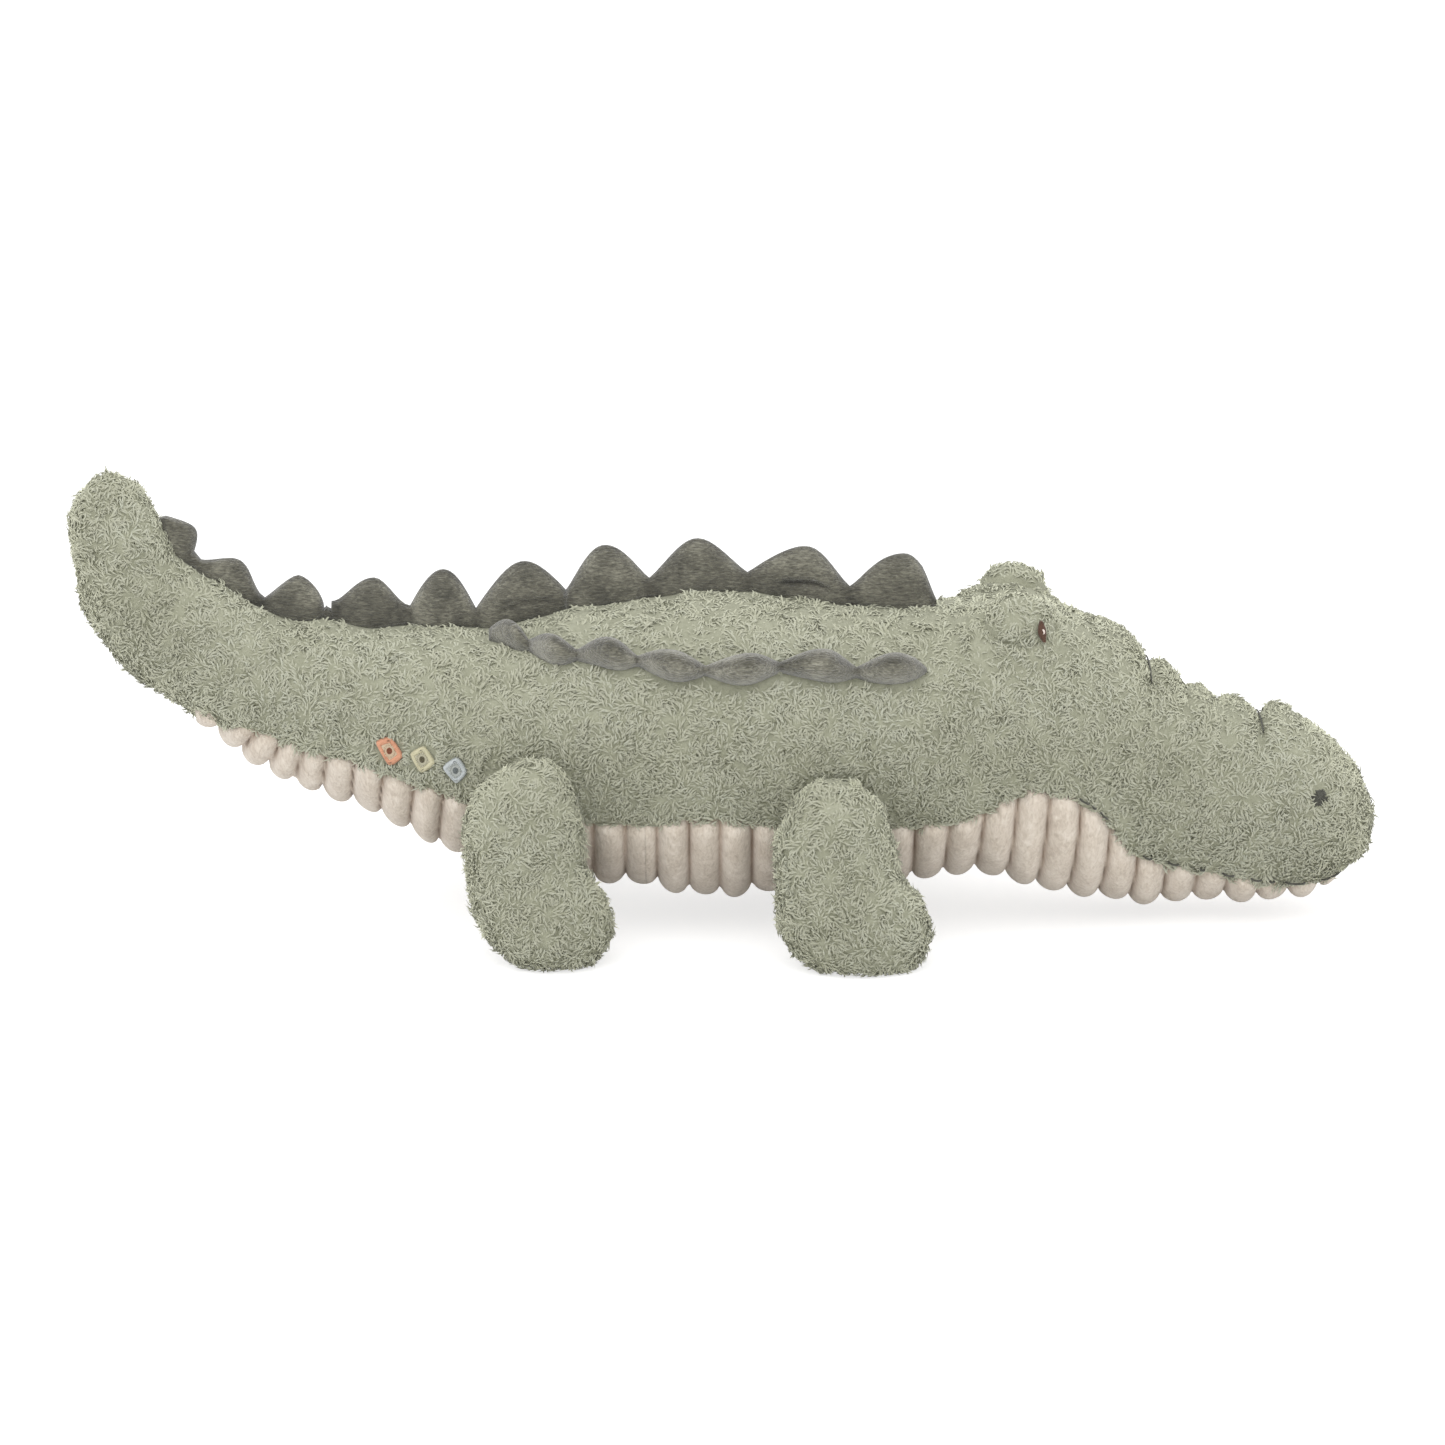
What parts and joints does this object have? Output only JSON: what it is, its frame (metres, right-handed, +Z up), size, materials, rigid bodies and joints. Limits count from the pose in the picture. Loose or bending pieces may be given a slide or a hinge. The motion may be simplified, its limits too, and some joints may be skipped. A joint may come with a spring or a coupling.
{
  "type": "plush crocodile",
  "caption": "Stuffed toy crocodile on short legs, with curly pile, a ribbed cream belly, padded back scutes and a swept-up tail.",
  "frame": {"origin": "on the ground under the middle of the toy's box", "axes": "+X towards the nose, +Y towards the animal's left, +Z up"},
  "size_m": [0.5996, 0.2224, 0.2076],
  "materials": {
    "pile": "matte",
    "velour": "matte",
    "velboa": "matte",
    "fibre": "matte",
    "dark_thread": "matte",
    "brown_thread": "matte",
    "orange_thread": "matte",
    "yellow_thread": "matte",
    "blue_thread": "matte"
  },
  "bodies": {
    "trunk": {"trunk_skin": "pile", "trunk_belly_panel": "velour", "trunk_filling": "fibre", "back_ridge": "velboa", "right_scute_strip": "velboa", "left_scute_strip": "velboa", "orange_diamond": "orange_thread", "yellow_diamond": "yellow_thread", "blue_diamond": "blue_thread"},
    "head": {"head_skin": "pile", "jaw_panel": "velour", "head_filling": "fibre", "right_eye_bump": "pile", "left_eye_bump": "pile", "right_eye": "brown_thread", "left_eye": "brown_thread", "right_nostril": "dark_thread", "left_nostril": "dark_thread", "right_mouth_stitching": "dark_thread", "left_mouth_stitching": "dark_thread", "rear_tuck_stitch": "dark_thread", "front_tuck_stitch": "dark_thread"},
    "tail": {"tail_skin": "pile", "tail_belly_panel": "velour", "tail_filling": "fibre", "tail_ridge": "velboa"},
    "hind_right_leg": {"hind_right_leg_skin": "pile", "hind_right_leg_filling": "fibre"},
    "hind_left_leg": {"hind_left_leg_skin": "pile", "hind_left_leg_filling": "fibre"},
    "front_right_leg": {"front_right_leg_skin": "pile", "front_right_leg_filling": "fibre"},
    "front_left_leg": {"front_left_leg_skin": "pile", "front_left_leg_filling": "fibre"}
  },
  "joints": [
    {"name": "neck_turn", "type": "hinge", "parent": "trunk", "child": "head", "pos_m": [0.0588, 0, 0.0839], "axis": [0, 0, 1], "range_deg": [-12, 12], "stiffness_Nm_per_rad": 1.5},
    {"name": "tail_turn", "type": "hinge", "parent": "trunk", "child": "tail", "pos_m": [-0.1398, 0, 0.09], "axis": [0, 0, 1], "range_deg": [-15, 15], "stiffness_Nm_per_rad": 0.8},
    {"name": "hind_right_leg_swing", "type": "hinge", "parent": "trunk", "child": "hind_right_leg", "pos_m": [-0.0858, -0.0828, 0.0752], "axis": [0, 1, 0], "range_deg": [-15, 15], "stiffness_Nm_per_rad": 0.8},
    {"name": "hind_left_leg_swing", "type": "hinge", "parent": "trunk", "child": "hind_left_leg", "pos_m": [-0.0858, 0.0828, 0.0752], "axis": [0, 1, 0], "range_deg": [-15, 15], "stiffness_Nm_per_rad": 0.8},
    {"name": "front_right_leg_swing", "type": "hinge", "parent": "trunk", "child": "front_right_leg", "pos_m": [0.0522, -0.0898, 0.0688], "axis": [0, 1, 0], "range_deg": [-15, 15], "stiffness_Nm_per_rad": 0.8},
    {"name": "front_left_leg_swing", "type": "hinge", "parent": "trunk", "child": "front_left_leg", "pos_m": [0.0522, 0.0898, 0.0688], "axis": [0, 1, 0], "range_deg": [-15, 15], "stiffness_Nm_per_rad": 0.8}
  ]
}
